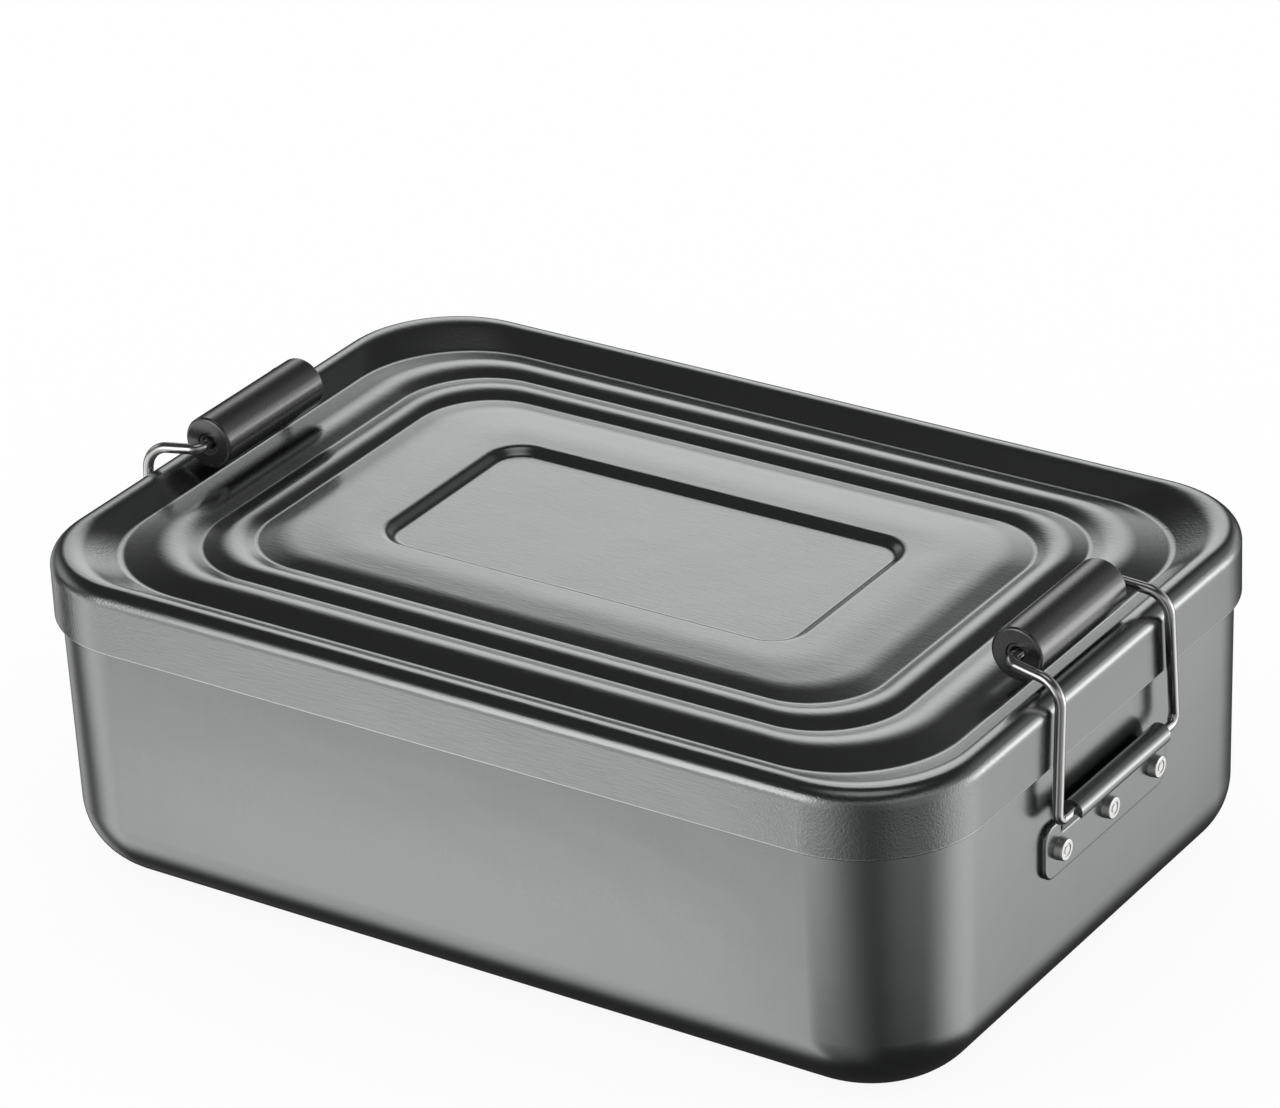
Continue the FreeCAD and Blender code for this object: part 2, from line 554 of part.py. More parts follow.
def make_roller(side, turn):
    """Round grip that turns on the bail's two pins: a bored cylinder with eased ends."""
    name = f"roller_{side}"
    body = doc.addObject("PartDesign::Body", name)
    section = new_sketch(body, f"{name}_section", "XY_Plane")
    half = ("sizes.roller_length / 2", size("roller_length") / 2)
    rectangle(section, place("barrel_bore"), ("sizes.roller_diameter / 2", size("roller_diameter") / 2),
              (f"-{half[0]}", -half[1]), half)
    turned = body.newObject("PartDesign::Revolution", f"{name}_turned")
    turned.Profile = section
    turned.ReferenceAxis = (section, ["V_Axis"])
    turned.Angle = 360
    doc.recompute()
    ends = end_edges(turned.Shape, half[1], size("roller_diameter") / 2)
    eased = round_off(body, f"{name}_ends", turned, ends, "sizes.roller_edge")
    mouths = end_edges(eased.Shape, half[1], places.barrel_bore)
    round_off(body, f"{name}_mouths", eased, mouths, "sizes.roller_mouth", kind="Chamfer")
    frame = clip_frame(turn, leaning=False)
    axis = FreeCAD.Vector(-size("roller_inset"), 0, size("roller_rise"))
    body.Placement = frame.multiply(FreeCAD.Placement(axis, FreeCAD.Rotation()))
    return finish(body, name)


def end_edges(shape, half_length, radius):
    """Names of the circles of one radius at both ends of a piece turned about Y."""
    names = []
    for index, edge in enumerate(shape.Edges, start=1):
        if isinstance(edge.Curve, Part.Circle) and abs(edge.Curve.Radius - radius) < TOUCH:
            if abs(abs(edge.Curve.Center.y) - half_length) < TOUCH:
                names.append(f"Edge{index}")
    return names


def disc(body, name, diameter, start, length, taper=None):
    """A round stage of a rivet, padded outward along the rivet's axis."""
    sketch = new_sketch(body, f"{name}_circle", "YZ_Plane", start)
    circle(sketch, (f"{diameter} / 2", size(diameter.split(".")[1]) / 2))
    return extrude(body, "Pad", name, sketch, length, taper)


def make_rivet(side, turn, row_name, row):
    """Rivet through the wall and the leaf: flat head inside, round head with a ring mark outside."""
    name = f"rivet_{side}_{row_name}"
    body = doc.addObject("PartDesign::Body", name)
    disc(body, f"{name}_foot", "sizes.rivet_foot_diameter", "-sizes.sheet - sizes.rivet_foot_height",
         "sizes.rivet_foot_height")
    disc(body, f"{name}_shank", "sizes.shank_diameter", "-sizes.sheet", "sizes.sheet + sizes.leaf")
    head = disc(body, f"{name}_head", "sizes.rivet_head_diameter", "sizes.leaf", "sizes.rivet_head_height",
                "-sizes.rivet_head_lean")
    face = size("leaf") + size("rivet_head_height")
    brim = [f"Edge{index}" for index, edge in enumerate(head.Shape.Edges, start=1)
            if edge.BoundBox.XMin > face - TOUCH]
    round_off(body, f"{name}_brim", head, brim, "sizes.rivet_head_edge")
    mark = new_sketch(body, f"{name}_ring", "YZ_Plane", "sizes.leaf + sizes.rivet_head_height")
    outer = ("sizes.rivet_mark_diameter / 2", size("rivet_mark_diameter") / 2)
    circle(mark, outer, tag="_outer")
    circle(mark, less(outer, "rivet_mark_width"), tag="_inner")
    extrude(body, "Pocket", f"{name}_mark", mark, "sizes.rivet_mark_depth")
    frame = clip_frame(turn, leaning=True)
    seat = FreeCAD.Vector(-places.standoff, row * size("rivet_pitch"), -size("rivet_drop"))
    body.Placement = frame.multiply(FreeCAD.Placement(seat, FreeCAD.Rotation()))
    return finish(body, name)


# Build, test and write

def check():
    """Stops where a feature failed or a piece isn't one sound solid."""
    for item in doc.Objects:
        if {"Invalid", "Error"} & set(item.State):
            raise RuntimeError(f"{item.Label} failed: {item.State}")
    for piece in finished:
        shape = piece.Shape
        if shape.isNull() or not shape.isValid() or len(shape.Solids) != 1:
            raise RuntimeError(f"{piece.Label} isn't one sound solid")
        print(f"{piece.Label}: {shape.Volume:.1f} mm3, {len(shape.Faces)} faces")


def write_parts():
    """Writes each piece to its own file."""
    os.makedirs("parts", exist_ok=True)
    for piece in finished:
        piece.Shape.exportStep(f"parts/{piece.Label}.step")


fill_sheet()
derive_places()
make_pan()
make_lid()
for side, turn in SIDES.items():
    make_hinge_plate(side, turn)
    make_bail(side, turn)
    make_roller(side, turn)
    for row_name, row in RIVET_ROWS.items():
        make_rivet(side, turn, row_name, row)
doc.recompute()
check()
write_parts()
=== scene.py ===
# %% [markdown]
# # A pressed aluminium lunch box
#
# The real box is a deep-drawn pan, a pressed lid and two clips of bent wire. The CAD frame already
# holds each piece at its real size and place. A satin metal skin shows every facet, so this lesson
# makes each piece again as a smooth surface, lets it stand for its CAD node, and gives it a finish.

# %% Load the frame
import json
import math

import bmesh
import bpy
import numpy as np
from mathutils import Matrix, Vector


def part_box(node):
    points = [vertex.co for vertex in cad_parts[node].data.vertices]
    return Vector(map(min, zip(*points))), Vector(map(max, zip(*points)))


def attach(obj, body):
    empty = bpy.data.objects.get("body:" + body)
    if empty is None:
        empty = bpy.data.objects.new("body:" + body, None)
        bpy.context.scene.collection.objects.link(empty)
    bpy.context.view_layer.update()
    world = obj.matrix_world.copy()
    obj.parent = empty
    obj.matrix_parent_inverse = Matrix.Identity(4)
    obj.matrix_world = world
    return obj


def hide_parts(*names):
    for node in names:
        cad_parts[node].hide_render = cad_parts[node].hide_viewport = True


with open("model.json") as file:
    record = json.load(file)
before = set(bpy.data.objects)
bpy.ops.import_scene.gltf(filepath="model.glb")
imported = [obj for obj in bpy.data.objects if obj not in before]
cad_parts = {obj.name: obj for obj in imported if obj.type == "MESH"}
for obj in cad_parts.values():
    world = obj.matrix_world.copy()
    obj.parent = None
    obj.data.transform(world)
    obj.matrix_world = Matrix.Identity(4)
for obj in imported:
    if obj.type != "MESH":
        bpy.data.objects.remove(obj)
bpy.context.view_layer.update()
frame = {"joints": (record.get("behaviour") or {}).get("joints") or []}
MM = 0.001

# %% [markdown]
# ## Rings, lines and shells
#
# Three shapes repeat all over the box: a rounded rectangle (every level of the lid and the pan), a
# line with rounded corners (the section of a sheet, and the path of the wire), and a circle carried
# along a line. Modifiers could bend and round a box into this, but a formula gives each bend its own
# radius and puts points only where the surface curves.

# %% Helpers that work out points
CORNER_STEPS = 22
SIDE_STEPS = 7
GUARD = 0.12


def rounded_rings(half_x, half_y, radius, height):
    """One ring of points per array entry, round a rounded rectangle at that height.

    A corner is its centre plus radius * (cos a, sin a) over a quarter turn. A side is the straight
    line from the end of one corner to the start of the next.
    """
    half_x, half_y, radius = (np.asarray(item, float)[:, None, None] for item in (half_x, half_y, radius))
    angle = np.radians(90 * np.arange(4)[:, None] + np.linspace(0, 90, CORNER_STEPS))
    side_x = np.array([1, -1, -1, 1])[:, None]
    side_y = np.array([1, 1, -1, -1])[:, None]
    arcs = np.stack([side_x * (half_x - radius) + radius * np.cos(angle),
                     side_y * (half_y - radius) + radius * np.sin(angle)], axis=-1)
    share = (np.arange(1, SIDE_STEPS + 1) / (SIDE_STEPS + 1))[:, None]
    sides = arcs[:, :, -1:] * (1 - share) + np.roll(arcs[:, :, :1], -1, axis=1) * share
    flat = np.concatenate([arcs, sides], axis=2).reshape(len(half_x), -1, 2)
    level = np.broadcast_to(np.asarray(height, float)[:, None, None], (*flat.shape[:2], 1))
    return np.concatenate([flat, level], axis=2)


def rounded_line(corners, radii, steps=10, guard=GUARD):
    """A line in the plane or in space with a tangent arc at each inner corner.

    The arc begins radius * tan(turn / 2) before the corner. It is centre + radius * (cos a * out +
    sin a * arrive), with a from 0 to the turn. A guard point before and after it keeps the bend's
    shading off the straight runs.
    """
    corners = np.asarray(corners, float)
    angle_share = np.linspace(0, 1, steps)[:, None]
    stretches = [corners[:1]]
    for before, corner, after, radius in zip(corners, corners[1:], corners[2:], radii):
        arrive = (corner - before) / np.linalg.norm(corner - before)
        leave = (after - corner) / np.linalg.norm(after - corner)
        turn = math.acos(np.clip(arrive @ leave, -1, 1))
        enter = corner - arrive * radius * math.tan(turn / 2)
        inward = (leave - arrive) / np.linalg.norm(leave - arrive)
        centre = corner + inward * radius / math.cos(turn / 2)
        out = (enter - centre) / radius
        angle = turn * angle_share
        arc = centre + radius * (np.cos(angle) * out + np.sin(angle) * arrive)
        stretches += [enter[None] - guard * arrive, arc, arc[-1:] + guard * leave]
    return np.concatenate([*stretches, corners[-1:]])


def grid_faces(rings, around, loop=False):
    """Four-sided faces between neighbouring rings.

    A loop joins the last ring to the first. Otherwise one many-sided face closes each end.
    """
    index = np.arange(rings * around).reshape(rings, around)
    first = index if loop else index[:-1]
    second = np.roll(index, -1, axis=0) if loop else index[1:]
    corners = [first, second, np.roll(second, -1, axis=1), np.roll(first, -1, axis=1)]
    quads = np.stack(corners, axis=-1).reshape(-1, 4).tolist()
    return quads if loop else quads + [index[0].tolist(), index[-1].tolist()]


def shell(rings, loop=False):
    """Points and faces of a surface given as an array of rings."""
    return rings.reshape(-1, 3), grid_faces(*rings.shape[:2], loop)


# %% Helpers that make a piece
def make_piece(name, shells, node, body):
    """One smooth mesh from closed shells, in millimetres, which stands for a CAD node on its body."""
    points, faces = [], []
    for shell_points, shell_faces in shells:
        faces += [[corner + sum(map(len, points)) for corner in face] for face in shell_faces]
        points.append(shell_points)
    mesh = bpy.data.meshes.new(name)
    mesh.from_pydata((np.concatenate(points) * MM).tolist(), [], faces)
    tidy = bmesh.new()
    tidy.from_mesh(mesh)
    bmesh.ops.recalc_face_normals(tidy, faces=tidy.faces)
    tidy.to_mesh(mesh)
    tidy.free()
    mesh.polygons.foreach_set("use_smooth", [True] * len(mesh.polygons))
    piece = bpy.data.objects.new(name, mesh)
    bpy.context.scene.collection.objects.link(piece)
    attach(piece, body)
    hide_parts(node)
    print(f"{name}: {len(mesh.polygons)} faces")
    return piece


def ease_edges(piece, width, angle=50):
    """Rounds the sharp edges of a stamped piece a little, and keeps its flat faces flat."""
    piece.data.set_sharp_from_angle(angle=math.radians(angle))
    bevel = piece.modifiers.new("eased edges", "BEVEL")
    bevel.width = width * MM
    bevel.segments = 3
    bevel.limit_method = "ANGLE"
    bevel.angle_limit = math.radians(angle)
    bevel.harden_normals = True


def node_box(node):
    """Lowest and highest corner of a CAD node, in millimetres."""
    return [np.array(corner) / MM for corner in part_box(node)]


# %% [markdown]
# ## The pan
#
# A press draws the pan from one flat sheet: its walls lean a little so that it leaves the die, and
# the wall runs into the base in a wide bend. Its section is a short line with four rounded corners.
# Each point of the section becomes a ring, drawn in from the rim's outline by the same amount all round.

# %% Make the pan
SHEET = 1.0
WALL_LEAN = math.radians(0.8)
BASE_BEND = 15.0
LIP_ROUNDING = 0.4
PAN_CORNER = 24.6
LEAST_CORNER = 2
FLAT_HALF = 40
BEND_STEPS = 18

pan_top = node_box("box_pan")[1]


def pan_section():
    """The pan's sheet in section: inset from the rim's outline, and height, from inside to underneath."""
    lean = pan_top[2] * math.tan(WALL_LEAN)
    far = pan_top[1] - FLAT_HALF
    inside = [(far, SHEET), (SHEET + lean, SHEET), (SHEET, pan_top[2])]
    outside = [(0, pan_top[2]), (lean, 0), (far, 0)]
    radii = [BASE_BEND - SHEET, LIP_ROUNDING, LIP_ROUNDING, BASE_BEND]
    return rounded_line(inside + outside, radii, steps=BEND_STEPS)


inset, level = pan_section().T
pan_corner = np.maximum(PAN_CORNER - inset, LEAST_CORNER)
pan_rings = rounded_rings(pan_top[0] - inset, pan_top[1] - inset, pan_corner, level)
pan = make_piece("pan_sheet", [shell(pan_rings)], "box_pan", "pan")

# %% [markdown]
# ## The lid
#
# The lid is pressed from the same sheet: a skirt, a rounded rim, a slope down to a first crease, two
# ridges with creases between them, a faintly domed plateau and a sunk panel. All of that is one section.
# The creases aren't evenly spaced at the ends and the sides, so each level's outline is interpolated
# between the few outlines that the press die would be drawn from.

# %% Make the lid
RIM_BEND = 3.2
CREST = 4.7
CREST_ROUNDING = 4.5
CREASES = (10.4, 22.3, 31.15)
CREASE_LEVELS = (11.1, 11.85, 11.85)
CREASE_ROUNDING = 1.5
CROWNS = (18.0, 27.3, 35.5)
CROWN_LEVELS = (13.2, 13.2, 12.7)
CROWN_ROUNDINGS = (8.5, 7.3, 20)
PANEL_EDGES = (43.5, 49.6, 51.4)
PANEL_LEVELS = (13.05, 12.95, 11.5)
PANEL_ROUNDINGS = (90, 2.2, 2.0)
PANEL_FLOOR = 53.0
CUT_EDGE = 0.3

lid_low, lid_top = node_box("lid")
DIE_INSETS = (0, 1, RIM_BEND, CREST, *CREASES, *PANEL_EDGES[1:], PANEL_FLOOR)
DIE_HALF_LENGTHS = (109, 108, 105.8, 104.3, 98.6, 83.4, 74.5, 50.7, 48.6, 47)
DIE_CORNERS = (26, 25, 22.8, 23.65, 26, 19.5, 16.7, 8, 6, 4.5)


def lid_section(skirt_inset, drop):
    """One face of the lid in section, from the skirt's lower edge in to the panel: corners and radii."""
    rim = lid_top[2] - drop
    base = lid_low[2] - drop
    corners = [(skirt_inset, lid_low[2]), (skirt_inset, rim), (CREST, rim)]
    radii = [CUT_EDGE, RIM_BEND - skirt_inset, CREST_ROUNDING]
    creases = zip(CREASES, CREASE_LEVELS)
    crowns = zip(CROWNS, CROWN_LEVELS, CROWN_ROUNDINGS)
    for (crease, low), (crown, high, rounding) in zip(creases, crowns):
        corners += [(crease, base + low), (crown, base + high)]
        radii += [CREASE_ROUNDING, rounding]
    corners += [(edge, base + height) for edge, height in zip(PANEL_EDGES, PANEL_LEVELS)]
    radii += PANEL_ROUNDINGS
    return corners, radii, (PANEL_FLOOR, base + PANEL_LEVELS[-1])


def lid_line():
    """The whole section: over the outside from the panel to the skirt, round its edge and back inside."""
    outside, outer_radii, outer_floor = lid_section(0, 0)
    inside, inner_radii, inner_floor = lid_section(SHEET, SHEET)
    corners = [outer_floor, *outside[::-1], *inside, inner_floor]
    return rounded_line(corners, outer_radii[::-1] + inner_radii)


inset, level = lid_line().T
half_length = np.interp(inset, DIE_INSETS, DIE_HALF_LENGTHS)
lid_corner = np.interp(inset, DIE_INSETS, DIE_CORNERS)
lid_rings = rounded_rings(half_length, lid_top[1] - inset, lid_corner, level)
lid = make_piece("lid_sheet", [shell(lid_rings)], "lid", "lid")

# %% [markdown]
# ## The clips
#
# Each clip hangs on a stamped plate, riveted to the short wall, whose neck is rolled round the wire.
# A clip is worked out once, about its own pivot, with the wall behind it, and then put in place. The
# plate and the rivets lean with the wall; the wire and the roller stand upright.

# %% Where the clips are
JOINTS = {joint["name"]: joint for joint in frame["joints"]}
SIDES = {"right": 1, "left": -1}


def joint_place(name):
    """A joint's place in millimetres."""
    return np.array(JOINTS[name]["pos_m"]) / MM


PIVOT = joint_place("clip_right_swing")
LEAN_COS = math.cos(WALL_LEAN)
LEAN_SIN = math.sin(WALL_LEAN)
wall_inset = (pan_top[2] - PIVOT[2]) * math.tan(WALL_LEAN)
WALL_STANDOFF = (PIVOT[0] - pan_top[0] + wall_inset) * LEAN_COS
print(f"the pivot stands {WALL_STANDOFF:.2f} mm off the wall")


def clip_place(points, sign, leaning=False):
    """Moves points from a clip's own frame to its end of the box; the left end is turned half round."""
    x, y, z = np.moveaxis(np.asarray(points, float), -1, 0)
    if leaning:
        x, z = x * LEAN_COS + z * LEAN_SIN, z * LEAN_COS - x * LEAN_SIN
    return np.stack([sign * (x + PIVOT[0]), sign * y, z + PIVOT[2]], axis=-1)


# %% [markdown]
# ### The hinge plate
#
# The leaf is a flat stamping, so it is an outline with a thickness. A tumbled stamping has soft edges,
# so the outline is drawn in along a quarter circle as it nears the face. The rolled barrel is a section
# carried across the box, and a bevel eases its ends.

# %% The leaf
LEAF = 1.2
LEAF_HALF = 24.6
LEAF_BOTTOM = -14.5
LEAF_CORNER = 3.5
EAR_TOP = -2.2
NECK_FOOT = -5.2
BARREL_HALF = 18.0
NOTCH_GAP = 0.02
NOTCH_HALF = BARREL_HALF + NOTCH_GAP
NOTCH_CORNER = 0.8
EDGE_ROUNDING = 0.6
EDGE_STEPS = 5


def leaf_outline(drawn_in):
    """The leaf: a rounded rectangle with a notch for the neck between its two ears, drawn in all round."""
    side = LEAF_HALF - drawn_in
    bottom = LEAF_BOTTOM + drawn_in
    top = EAR_TOP - drawn_in
    notch = NOTCH_HALF + drawn_in
    right = [(side, bottom), (side, top), (notch, top), (notch, NECK_FOOT - drawn_in)]
    outer = LEAF_CORNER - drawn_in
    radii = [outer, outer, NOTCH_CORNER - drawn_in, NOTCH_CORNER + drawn_in]
    left = [(-across, up) for across, up in right[::-1]]
    line = rounded_line([(0, bottom), *right, *left, (0, bottom)], radii + radii[::-1], steps=8)
    return line[:-1]


def leaf_rings():
    """Outlines from the wall to the leaf's face; the last ones are drawn in along a quarter circle."""
    turn = np.linspace(0, math.pi / 2, EDGE_STEPS)
    drawn_in = [0, 0, *(EDGE_ROUNDING * (1 - np.cos(turn))), EDGE_ROUNDING + GUARD]
    edge = LEAF - EDGE_ROUNDING
    place = [0, edge - GUARD, *(edge + EDGE_ROUNDING * np.sin(turn)), LEAF]
    outlines = [np.insert(leaf_outline(amount), 0, out, axis=1) for amount, out in zip(drawn_in, place)]
    return np.stack(outlines) - (WALL_STANDOFF, 0, 0)


# %% The rolled barrel
WIRE_RADIUS = 1.15
BORE_CLEARANCE = 0.05
BARREL_BORE = WIRE_RADIUS + BORE_CLEARANCE
BARREL_RADIUS = BARREL_BORE + LEAF
BARREL_SEAM = -1.2
ROLL_STEPS = 40


def barrel_section():
    """Neck and barrel: two parallel lines that run into two arcs about the pivot, out to the seam."""
    foot = np.array([-WALL_STANDOFF, NECK_FOOT])
    reach = np.linalg.norm(foot)
    start = math.atan2(foot[1], foot[0]) + 2 * math.pi - math.acos(BARREL_RADIUS / reach)
    angle = np.linspace(start, math.asin(BARREL_SEAM / BARREL_RADIUS), ROLL_STEPS)
    turn = np.stack([np.cos(angle), np.sin(angle)], axis=1)
    front = foot + (LEAF, 0)
    return np.concatenate([foot[None], BARREL_RADIUS * turn, BARREL_BORE * turn[::-1], front[None]])


# %% Make the hinge plates
BARREL_EASE = 0.5

plates = []
for side, sign in SIDES.items():
    ends = (-BARREL_HALF, BARREL_HALF)
    barrel = np.stack([np.insert(barrel_section(), 1, end, axis=1) for end in ends])
    shells = [shell(clip_place(rings, sign, leaning=True)) for rings in (leaf_rings(), barrel)]
    node = f"hinge_plate_{side}"
    plate = make_piece(f"hinge_leaf_{side}", shells, node, "pan")
    ease_edges(plate, BARREL_EASE)
    plates.append(plate)

# %% [markdown]
# ### The rivets and the roller
#
# Both are turned forms: a profile spun about an axis. The rivet's tall head has a ring pressed into
# its face. The roller is bored through, so its profile is a closed loop.

# %% Spin a profile
TURN_STEPS = 56


def spun(profile, axis):
    """Rings about an axis from a profile of (place along the axis, radius)."""
    along, radius = np.asarray(profile, float).T
    angle = np.linspace(0, 2 * math.pi, TURN_STEPS, endpoint=False)
    circle = [radius[:, None] * np.cos(angle), radius[:, None] * np.sin(angle)]
    circle.insert(axis, np.broadcast_to(along[:, None], circle[0].shape))
    return np.stack(circle, axis=-1)


# %% Make the rivets
RIVET_PITCH = 19.0
RIVET_DROP = -8.45
FOOT_RADIUS = 3.3
FOOT_HEIGHT = 0.9
SHANK_RADIUS = 1.55
HEAD_RADIUS = 2.5
HEAD_HEIGHT = 1.8
HEAD_LEAN = math.radians(6)
FACE_RADIUS = HEAD_RADIUS - HEAD_HEIGHT * math.tan(HEAD_LEAN)
MARK_RADIUS = 1.4
MARK_WIDTH = 0.5
MARK_DEPTH = 0.2
MARK_LEAN = 0.1
FOOT_CENTRE = 0.4
FACE_CENTRE = 0.2
RIVET_ROUNDINGS = (0.3, 0.1, 0.05, 0.05, 0.05, 0.3, 0.06, 0.05, 0.05, 0.06)
ROWS = {"front": -1, "middle": 0, "back": 1}


def rivet_profile():
    """Foot inside the pan, shank, and leaning head with a ring mark in its face, along the rivet."""
    foot = -SHEET - FOOT_HEIGHT
    face = LEAF + HEAD_HEIGHT
    mark = face - MARK_DEPTH
    inner = MARK_RADIUS - MARK_WIDTH
    corners = [(foot, FOOT_CENTRE), (foot, FOOT_RADIUS), (-SHEET, FOOT_RADIUS), (-SHEET, SHANK_RADIUS),
               (LEAF, SHANK_RADIUS), (LEAF, HEAD_RADIUS), (face, FACE_RADIUS), (face, MARK_RADIUS),
               (mark, MARK_RADIUS - MARK_LEAN), (mark, inner + MARK_LEAN), (face, inner),
               (face, FACE_CENTRE)]
    return rounded_line(corners, RIVET_ROUNDINGS, steps=5, guard=0.02)


rivets = []
for side, sign in SIDES.items():
    for row, step in ROWS.items():
        rings = spun(rivet_profile(), 0) + (-WALL_STANDOFF, step * RIVET_PITCH, RIVET_DROP)
        shells = [shell(clip_place(rings, sign, leaning=True))]
        node = f"rivet_{side}_{row}"
        rivet = make_piece(f"rivet_head_{side}_{row}", shells, node, "pan")
        rivets.append(rivet)

# %% Make the rollers
ROLLER = joint_place("roller_right_spin") - PIVOT
ROLLER_HALF = 17.0
ROLLER_RADIUS = 5.8
BORE_MOUTH = 0.5
RING_OUTER = 2.45
RING_INNER = 2.25
RING_DEPTH = 0.35
ROLLER_ROUNDINGS = (0.6, 0.12, 0.1, 0.1, 0.1)


def roller_profile():
    """A closed loop: the grip, its rounded ends, the end faces with a ring step, and the bore."""
    step = ROLLER_HALF - RING_DEPTH
    end = [(0, ROLLER_RADIUS), (ROLLER_HALF, ROLLER_RADIUS), (ROLLER_HALF, RING_OUTER), (step, RING_INNER),
           (step, BARREL_BORE + BORE_MOUTH), (step - BORE_MOUTH, BARREL_BORE), (0, BARREL_BORE)]
    half = rounded_line(end, ROLLER_ROUNDINGS, steps=6, guard=0.03)
    return np.concatenate([half, half[-2:0:-1] * (-1, 1)])


rollers = []
for side, sign in SIDES.items():
    shells = [shell(clip_place(spun(roller_profile(), 1) + ROLLER, sign), loop=True)]
    node = f"roller_{side}"
    roller = make_piece(f"roller_grip_{side}", shells, node, f"roller_{side}")
    rollers.append(roller)

# %% [markdown]
# ### The wire bail
#
# One wire makes the whole bail: a pin in the roller, an arm out over the rim, a leg down the skirt, a
# bar through the barrel, and the same back again. Its path is a line with rounded corners in space, and
# a circle is carried along it. The circle's frame comes from one fixed direction that the wire never takes.

# %% Make the bails
LEG_HALF = 23.7
SHOULDER_HALF = 21.6
ARM_HALF = 20.2
SHOULDER_RISE = 29.4
SHOULDER_BEND = 5.5
FOOT_BEND = 2.2
PIN_LENGTH = 11
PIN_END = ROLLER_HALF - PIN_LENGTH
STEADY = np.array([0.85, 0.0, 0.53])
WIRE_STEPS = 24


def bail_path():
    """The wire's middle line, from pin to pin."""
    half = [(ROLLER[0], PIN_END, ROLLER[2]), (ROLLER[0], ARM_HALF, ROLLER[2]),
            (0, SHOULDER_HALF, SHOULDER_RISE), (0, LEG_HALF, 0)]
    back = [(x, -y, z) for x, y, z in half[::-1]]
    radii = [FOOT_BEND, SHOULDER_BEND, FOOT_BEND]
    return rounded_line(half + back, radii + radii[::-1], steps=12, guard=0.05)


def tube(path, radius):
    """A circle carried along a path: path + radius * (cos a * first + sin a * second)."""
    along = np.gradient(path, axis=0)
    along /= np.linalg.norm(along, axis=1, keepdims=True)
    first = STEADY - (along @ STEADY)[:, None] * along
    first /= np.linalg.norm(first, axis=1, keepdims=True)
    second = np.cross(along, first)
    angle = np.linspace(0, 2 * math.pi, WIRE_STEPS, endpoint=False)[None, :, None]
    return path[:, None] + radius * (np.cos(angle) * first[:, None] + np.sin(angle) * second[:, None])


def wire_lay(path):
    """How a line lies on the wire at each point: cosine and sine round it, and length along it."""
    length = np.insert(np.cumsum(np.linalg.norm(np.diff(path, axis=0), axis=1)), 0, 0)
    angle = np.linspace(0, 2 * math.pi, WIRE_STEPS, endpoint=False)
    return np.stack(np.broadcast_arrays(np.cos(angle), np.sin(angle), length[:, None]), axis=-1)


bails = []
for side, sign in SIDES.items():
    rings = clip_place(tube(bail_path(), WIRE_RADIUS), sign)
    node = f"wire_bail_{side}"
    bail = make_piece(f"bail_wire_{side}", [shell(rings)], node, f"bail_{side}")
    lay = bail.data.attributes.new("lay", "FLOAT_VECTOR", "POINT")
    lay.data.foreach_set("vector", wire_lay(bail_path()).ravel())
    bails.append(bail)

# %% [markdown]
# ## The finishes
#
# Each surface here is nearly one colour. What makes it read as metal or as plastic is its grain: fine
# specks in the anodised skin, lines from the press and the drawing die, and a mould's matt texture. A
# picture of metal could be wrapped over the pieces, but it would bring its own light with it. Here one
# group of noise does all of them. It takes a place on the piece and a grain's size along each axis, so a
# long thin grain is a scratch and a round one is a speck.

# %% Helpers that join shader nodes
def feed(tree, sockets, values):
    """Links each value that is another node's output, and sets each one that is a number or a colour."""
    for socket, value in zip(sockets, values):
        if isinstance(value, bpy.types.NodeSocket):
            tree.links.new(value, socket)
        else:
            socket.default_value = value


def math_node(tree, operation, *values):
    """The result of one operation on numbers."""
    node = tree.nodes.new("ShaderNodeMath")
    node.operation = operation
    feed(tree, node.inputs, values)
    return node.outputs["Value"]


def vector_node(tree, operation, *values):
    """The result of one operation on vectors; a number or a colour also counts as one."""
    node = tree.nodes.new("ShaderNodeVectorMath")
    node.operation = operation
    feed(tree, node.inputs, values)
    return node.outputs["Value" if operation == "DOT_PRODUCT" else "Vector"]


def ramp(tree, value, low, high):
    """0 below low, 1 above high and an S-shaped rise between; a low above the high makes it fall."""
    node = tree.nodes.new("ShaderNodeMapRange")
    node.interpolation_type = "SMOOTHSTEP"
    feed(tree, [node.inputs[name] for name in ("Value", "From Min", "From Max")], [value, low, high])
    return node.outputs["Result"]


def mix_node(tree, kind, share, first, second):
    """A number or a colour between two others."""
    node = tree.nodes.new("ShaderNodeMix")
    node.data_type = kind
    feed(tree, [socket for socket in node.inputs if socket.enabled], [share, first, second])
    return next(socket for socket in node.outputs if socket.enabled)


# %% The grain group
NOISE_DETAIL = 3


def grain_group():
    """Noise over place / size. Height is the noise, and Shade is 1 + amount * (noise - 0.5)."""
    group = bpy.data.node_groups.new("grain", "ShaderNodeTree")
    for name, kind in (("Place", "Vector"), ("Size", "Vector"), ("Amount", "Float")):
        group.interface.new_socket(name, in_out="INPUT", socket_type=f"NodeSocket{kind}")
    for name in ("Shade", "Height"):
        group.interface.new_socket(name, in_out="OUTPUT", socket_type="NodeSocketFloat")
    given = group.nodes.new("NodeGroupInput").outputs
    result = group.nodes.new("NodeGroupOutput").inputs
    noise = group.nodes.new("ShaderNodeTexNoise")
    place = vector_node(group, "DIVIDE", given["Place"], given["Size"])
    feed(group, [noise.inputs[name] for name in ("Vector", "Scale", "Detail")], [place, 1, NOISE_DETAIL])
    speck = math_node(group, "SUBTRACT", noise.outputs["Fac"], 0.5)
    shade = math_node(group, "MULTIPLY_ADD", speck, given["Amount"], 1)
    feed(group, [result["Shade"], result["Height"]], [shade, noise.outputs["Fac"]])
    return group


GRAIN = grain_group()


